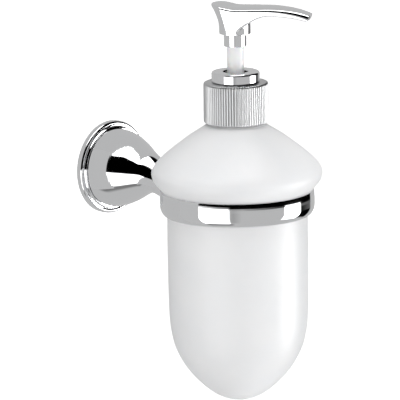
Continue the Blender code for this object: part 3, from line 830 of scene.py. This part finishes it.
def makeFixings():
    # arm bolt in the plate's dish, the rosette's grub screw and the screw from the ring's bore
    size = fixingSizes
    piece = lathe("arm_fixing_bolt", inMm(size["bolt"]), wallAxis, True, 48)
    join(piece, hexCutter(Vector((0, -1.1, 0)) * mm, 1.5 * mm, 0.9 * mm, True), "DIFFERENCE")
    settle(piece, "arm_fixing_bolt", 35)
    install(piece, "mount", "arm_bolt", steel)

    spot = Vector((0, -size["grubDepth"], 0)) * mm
    thick, top, foot = size["grub"], size["grubTop"], size["grubFoot"]
    grub = [(0, top), (thick - 0.5, top), (thick, top - 0.6)]
    low = top - 0.8
    while low > foot + 0.4:
        grub += [(thick, low), (thick - 0.18, low - 0.2), (thick, low - 0.4)]
        low -= 0.5
    grub += [(thick, foot + 0.2), (thick - 0.15, foot), (0, foot)]
    piece = lathe("rosette_grub", inMm(grub), spot, False, 32)
    recess = hexCutter(spot + Vector((0, 0, foot)) * mm, 0.75 * mm, 1.8 * mm, False)
    join(piece, recess, "DIFFERENCE")
    settle(piece, "rosette_grub", 35)
    install(piece, "mount", "grub_screw", steel)

    start = axisY / mm + ringSizes["bore"] + 0.1
    spot = Vector((0, start, -armSizes["drop"])) * mm
    outline = screwOutline(size["ringScrewHead"], 1.75, size["ringScrewShank"],
                           size["ringScrewLength"], 0, 1.0)
    piece = lathe("ring_fixing_screw", inMm(outline), spot, True, 32, 40)
    join(piece, crossCutter(spot, 0.6 * mm, 2.9 * mm, 1.1 * mm), "DIFFERENCE")
    settle(piece, "ring_fixing_screw", 35)
    install(piece, "mount", "ring_screw", steel)


pumpSizes = {"flange": 13.6, "flangeLow": 51.8, "barrel": 6.3, "bore": 5.3, "neck": 8.5,
             "neckTop": 57.0, "tube": 2.0, "tubeBore": 1.2, "tubeEnd": -99.0, "coil": 4.1,
             "wire": 0.4, "coilLow": 3.7, "coilHigh": 25.3, "turns": 7, "inletBall": (2.2, 1.4),
             "outletBall": (1.8, 29.44), "springSeat": 3.3, "pressed": 0.375,
             "gasket": [(13.2, 51.5), (13.2, 50.5), (10.7, 50.5), (10.7, 51.5)],
             "seal": [(8.2, 58.3), (8.2, 57.3), (4.55, 57.3), (4.55, 57.6), (4.9, 57.8),
                      (4.55, 58.0), (4.55, 58.3)],
             "lips": [(3.2, 31.4), (4.6, 31.4), (5.0, 30.4), (4.3, 29.7), (4.3, 27.7), (5.0, 27.0),
                      (4.6, 26.0), (3.2, 26.0)]}


def makePumpInside():
    size = pumpSizes
    flange, low, barrel, bore = size["flange"], size["flangeLow"], size["barrel"], size["bore"]
    section = [(size["neck"], size["neckTop"]), (size["neck"], low + 1.5), (flange, low + 1.5),
               (flange, low), (barrel, low), (barrel, 12.0), (barrel + 0.35, 11.6),
               (barrel + 0.35, 10.4), (barrel, 10.0), (barrel, 1.0), (3.7, -3.0), (3.4, -8.0),
               (2.3, -8.0), (2.3, -2.5), (1.4, -2.5), (1.4, -1.0), (2.7, 0.2), (2.7, 3.0),
               (bore, 3.0), (bore, size["neckTop"])]
    piece = lathe("pump_barrel", softened(inMm(section), 0.25 * mm, 2), sides=64)
    install(piece, "pump", "pump_housing", whitePlastic)

    tube = [(size["tube"], size["tubeEnd"]), (size["tube"], -2.8), (size["tubeBore"], -2.8),
            (size["tubeBore"], size["tubeEnd"])]
    piece = lathe("draw_tube", softened(inMm(tube), 0.15 * mm, 2), sides=32)
    clearSelection()
    piece.select_set(True)
    bpy.context.view_layer.objects.active = piece
    startEdit()
    choose(piece, lambda co: co.z < (size["tubeEnd"] + 1) * mm)      # foot cut at a slant
    bpy.ops.transform.rotate(value=radians(35), orient_axis="X",
                             center_override=(0, axisY, (size["tubeEnd"] + 1.6) * mm))
    settle(piece, "draw_tube", 35)
    install(piece, "pump", "dip_tube", clearPlastic)

    piece = lathe("neck_washer", softened(inMm(size["gasket"]), 0.3 * mm, 3), sides=64)
    install(piece, "pump", "neck_gasket", whitePlastic)

    piece = lathe("stem_wiper", softened(inMm(size["seal"]), 0.12 * mm, 2), sides=64)
    # the seal's black is its rubber and also painted shade for the hole round the stem
    install(piece, "pump", "stem_seal", rubberWithShade)

    piece = lathe("piston_lips", softened(inMm(size["lips"]), 0.2 * mm, 3), sides=64)
    install(piece, "plunger", "piston", whitePlastic)


def makeSpring():
    # a round of wire screwed up the axis, its end turns then closed up
    size = pumpSizes
    turns, wire, steps, sides = size["turns"], size["wire"], 28, 12
    clearSelection()
    bpy.ops.mesh.primitive_circle_add(vertices=sides, radius=wire * mm, rotation=(pi / 2, 0, 0),
                                      location=(size["coil"] * mm, 0, size["coilLow"] * mm))
    piece = bpy.context.object
    bpy.ops.object.transform_apply(location=True, rotation=True, scale=True)
    finishModifier(piece, "SCREW", angle=2 * pi, screw_offset=0, iterations=turns, steps=steps,
                   render_steps=steps, use_merge_vertices=False, use_smooth_shade=True)
    rise = size["coilHigh"] - size["coilLow"] - 1.35
    for number, vertex in enumerate(piece.data.vertices):
        turn = (number // sides) / steps
        climb = min(max((turn - 0.75) / (turns - 1.5), 0), 1)
        closing = min(turn, 0.75) + max(turn - (turns - 0.75), 0)
        vertex.co.z += (closing * 0.9 + climb * rise) * mm
    clearSelection()
    piece.select_set(True)
    bpy.context.view_layer.objects.active = piece
    startEdit()
    bpy.ops.mesh.select_all(action="DESELECT")
    bpy.ops.mesh.select_non_manifold()
    bpy.ops.mesh.fill_holes(sides=sides)
    piece.location = pumpAxis
    settle(piece, "pump_coil", 60)
    install(piece, "pump", "return_spring", steel)
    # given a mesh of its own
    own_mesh(piece)


def makeBalls():
    for name, node, body, (radius, height) in (
            ("inlet_bead", "inlet_ball", "inlet_valve", pumpSizes["inletBall"]),
            ("outlet_bead", "outlet_ball", "outlet_valve", pumpSizes["outletBall"])):
        outline = [(radius * sin(pi * i / 16), height - radius * cos(pi * i / 16)) for i in range(17)]
        outline[0], outline[-1] = (0, height - radius), (0, height + radius)
        piece = lathe(name, inMm(outline), sides=32, angle=60)
        install(piece, body, node, steel)


makeRosette()
makeArm()
print("wall side done")
makeRing()
makeLiner()
makeBottle()
print("ring and bottle done")
makeCap()
makeCollar()
makeStem()
makeFerrule()
makeHead()
print("pump done")
makeWallSide()
makeFixings()
makePumpInside()
makeSpring()
makeBalls()
print("inner pieces done")


stageSizes = {"floor": 6, "floorLevel": -0.16, "floorGlow": 0.5, "board": (0.8, 0.27, 1),
              "boardPlace": (-0.3, 0.115, 0), "boardGlow": 0.53}      # places in metres


def makeStage():
    # the floor stays out of reflections; the chrome sees a grey board off to the left of the arm
    size = stageSizes
    clearSelection()
    bpy.ops.mesh.primitive_plane_add(size=size["floor"], location=(0, 0, size["floorLevel"]))
    floor = bpy.context.object
    floor.name = "floor"
    paint = Paint("pale_floor")
    tint = paint.noise(0.4, 2, 0.5)
    shade = paint.blend(tint, (0.93, 0.93, 0.93), (0.96, 0.96, 0.96))
    floor.data.materials.append(paint.feed(baseColor=shade, roughness=0.8,
                                           emissionColor=(1, 1, 1),
                                           emissionStrength=size["floorGlow"]))
    floor.visible_glossy = False
    floor.visible_shadow = False
    floor.visible_diffuse = False
    clearSelection()
    bpy.ops.mesh.primitive_plane_add(size=1, location=size["boardPlace"], rotation=(0, pi / 2, 0))
    board = bpy.context.object
    board.name = "board"
    board.scale = size["board"]
    board.visible_camera = False
    paint = Paint("grey_board")
    board.data.materials.append(paint.feed(baseColor=(0.0, 0.0, 0.0), roughness=1.0,
                                           emissionColor=(1, 1, 1),
                                           emissionStrength=size["boardGlow"]))


# strengths of the surroundings, then each patch in degrees: its left and right ends, and its lower
# and upper edges where they are level
studio = {"grey": 0.53, "top": 3.5, "topFrom": 82.8, "lowLeft": 2.2, "lowRight": 9.5,
          "eyeLine": -6.0, "eyeFall": 0.05, "dark": (-112, 92), "darkRight": (60, 92, -32),
          "darkLow": (-114, -56, -62, -46), "dim": (-60, -48, -40), "leftCard": (-112, -60, -46),
          "rightCard": (28, 60, -28)}


def makeWorld():
    # surroundings by direction: azimuth 0 is the room side, elevation 0 level. The camera sees white.
    world = bpy.data.worlds.new("studio")
    bpy.context.scene.world = world
    world.use_nodes = True
    paint = Paint("studio", world.node_tree)
    way = paint.add("ShaderNodeTexCoord", output="Generated")
    paint.add("ShaderNodeSeparateXYZ", values=[way])
    parts = paint.last
    x, y, z = (Flow(paint, parts.outputs[i]) for i in range(3))
    azimuth = x.combine("ARCTAN2", y * -1.0) * (180 / pi)
    elevation = paint.add("ShaderNodeMath", {"operation": "ARCSINE"}, [z]) * (180 / pi)

    def patch(left, right, low, high, soft=2.0, softLow=None):
        # low and high may follow the azimuth
        side = azimuth.spread(left - soft, left + soft)
        side = side * (1 - azimuth.spread(right - soft, right + soft))
        softLow = softLow or soft
        lowEdge = ((elevation - low) * (0.5 / softLow) + 0.5).clamped(0, 1)
        highEdge = ((elevation - high) * (0.5 / soft) + 0.5).clamped(0, 1)
        return side * lowEdge * (1 - highEdge)

    size = studio
    eye = size["eyeLine"] - azimuth.clamped(-40, 90) * size["eyeFall"]
    topEdge = size["topFrom"] + azimuth.clamped(-85, -40) * 0.4
    roomSide = (y * -1.0).spread(0.02, 0.05)
    dark = patch(*size["dark"], eye, topEdge, 1.2)
    darkRight = patch(*size["darkRight"], eye, 2.5)
    darkLow = patch(*size["darkLow"], 4.0)
    dim = patch(*size["dim"], eye, 7.0)
    over = patch(-170, 170, topEdge, 95, 2.0) * roomSide
    lowLeft = patch(*size["leftCard"], eye, 2.0, 3)
    lowRight = patch(*size["rightCard"], eye, 2.0, 8)
    level = size["grey"] * (1 - dark) * (1 - darkRight) * (1 - darkLow * 0.6) * (1 - dim * 0.3)
    level = level + over * size["top"] + lowLeft * size["lowLeft"] + lowRight * size["lowRight"]
    background = world.node_tree.nodes["Background"]
    background.inputs["Color"].default_value = (1, 1, 1, 1)
    world.node_tree.links.new(level.socket, background.inputs["Strength"])
    paint.add("ShaderNodeBackground", values={"Color": (1, 1, 1, 1)})
    seen = paint.last
    paint.add("ShaderNodeLightPath")
    path = paint.last
    mix = world.node_tree.nodes.new("ShaderNodeMixShader")
    world.node_tree.links.new(path.outputs["Is Camera Ray"], mix.inputs[0])
    world.node_tree.links.new(background.outputs[0], mix.inputs[1])
    world.node_tree.links.new(seen.outputs[0], mix.inputs[2])
    world.node_tree.links.new(mix.outputs[0], world.node_tree.nodes["World Output"].inputs["Surface"])


# angles in degrees, distance in metres, the rest in mm
cameraPlace = {"azimuth": -46.8, "elevation": 12, "roll": -0.9, "distance": 2.0,
               "frameWidth": 203.2, "aside": -18.847, "lift": -5.944, "film": 36}


def backTo(azimuth, elevation):
    # direction from the dispenser to a camera or a lamp
    a, e = radians(azimuth), radians(elevation)
    return Vector((sin(a) * cos(e), -cos(a) * cos(e), sin(e)))


def makeCamera():
    size = cameraPlace
    back = backTo(size["azimuth"], size["elevation"])
    data = bpy.data.cameras.new("camera")
    camera = bpy.data.objects.new("camera", data)
    bpy.context.scene.collection.objects.link(camera)
    bpy.context.scene.camera = camera
    data.sensor_width = size["film"]
    data.lens = size["film"] * size["distance"] / (size["frameWidth"] * mm)
    facing = (-back).to_track_quat("-Z", "Y").to_matrix()
    facing = facing @ Matrix.Rotation(radians(size["roll"]), 3, "Z")
    right, up = facing.col[0], facing.col[1]
    target = pumpAxis + right * size["aside"] * mm + up * size["lift"] * mm
    camera.matrix_world = Matrix.Translation(target + back * size["distance"]) @ facing.to_4x4()
    data.clip_start, data.clip_end = 0.1, 20


# azimuth and elevation in degrees, side in metres and power in watts of each soft lamp
lamps = {"fill_front": (-30, 20, 0.9, 6), "fill_right": (15, 35, 0.6, 2),
         "fill_top": (-20, 80, 1.2, 4)}


def addSoftbox(name, azimuth, elevation, side, power, distance=1.4):
    back = backTo(azimuth, elevation)
    data = bpy.data.lights.new(name, "AREA")
    data.shape = "RECTANGLE"
    data.size, data.size_y = side, side
    data.energy = power
    light = bpy.data.objects.new(name, data)
    bpy.context.scene.collection.objects.link(light)
    light.location = pumpAxis + back * distance
    light.rotation_euler = (-back).to_track_quat("-Z", "Y").to_euler()
    light.visible_glossy = False


bpy.context.scene.view_settings.view_transform = "Standard"
makeStage()
makeWorld()
makeCamera()
for name, place in lamps.items():
    addSoftbox(name, *place)
print("stage done")
